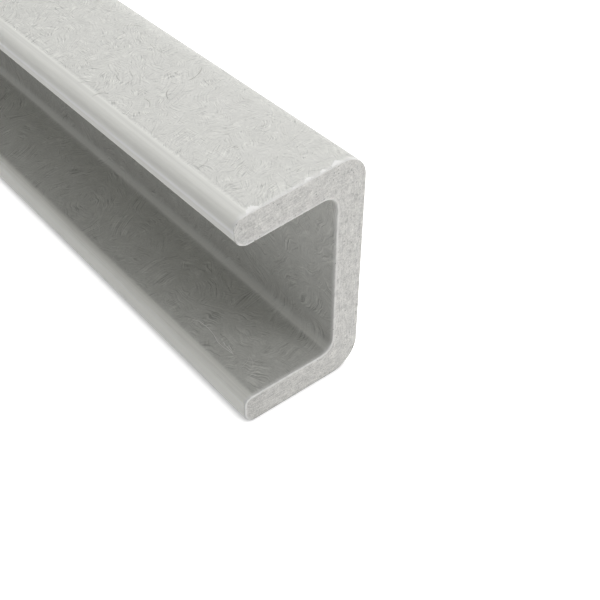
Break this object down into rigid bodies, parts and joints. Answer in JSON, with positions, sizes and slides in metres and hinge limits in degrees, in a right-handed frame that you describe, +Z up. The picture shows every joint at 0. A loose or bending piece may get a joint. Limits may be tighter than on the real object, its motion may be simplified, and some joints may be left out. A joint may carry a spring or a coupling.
{
  "type": "fibreglass channel",
  "caption": "Straight length of grey pultruded glass-fibre channel with thick walls, rounded heels, rounded flange tips and square-sawn ends.",
  "frame": {"origin": "middle of the stock's length and width, on the level that it lies on", "axes": "+Y along the stock, away from the end that the picture shows; +X towards the outside of the web; +Z up, with the lower flange lying level"},
  "size_m": [0.0294, 0.6096, 0.0503],
  "materials": {
    "fibreglass": "satin grey resin with glass strands showing through"
  },
  "bodies": {
    "root": {"channel": "fibreglass"}
  },
  "joints": []
}
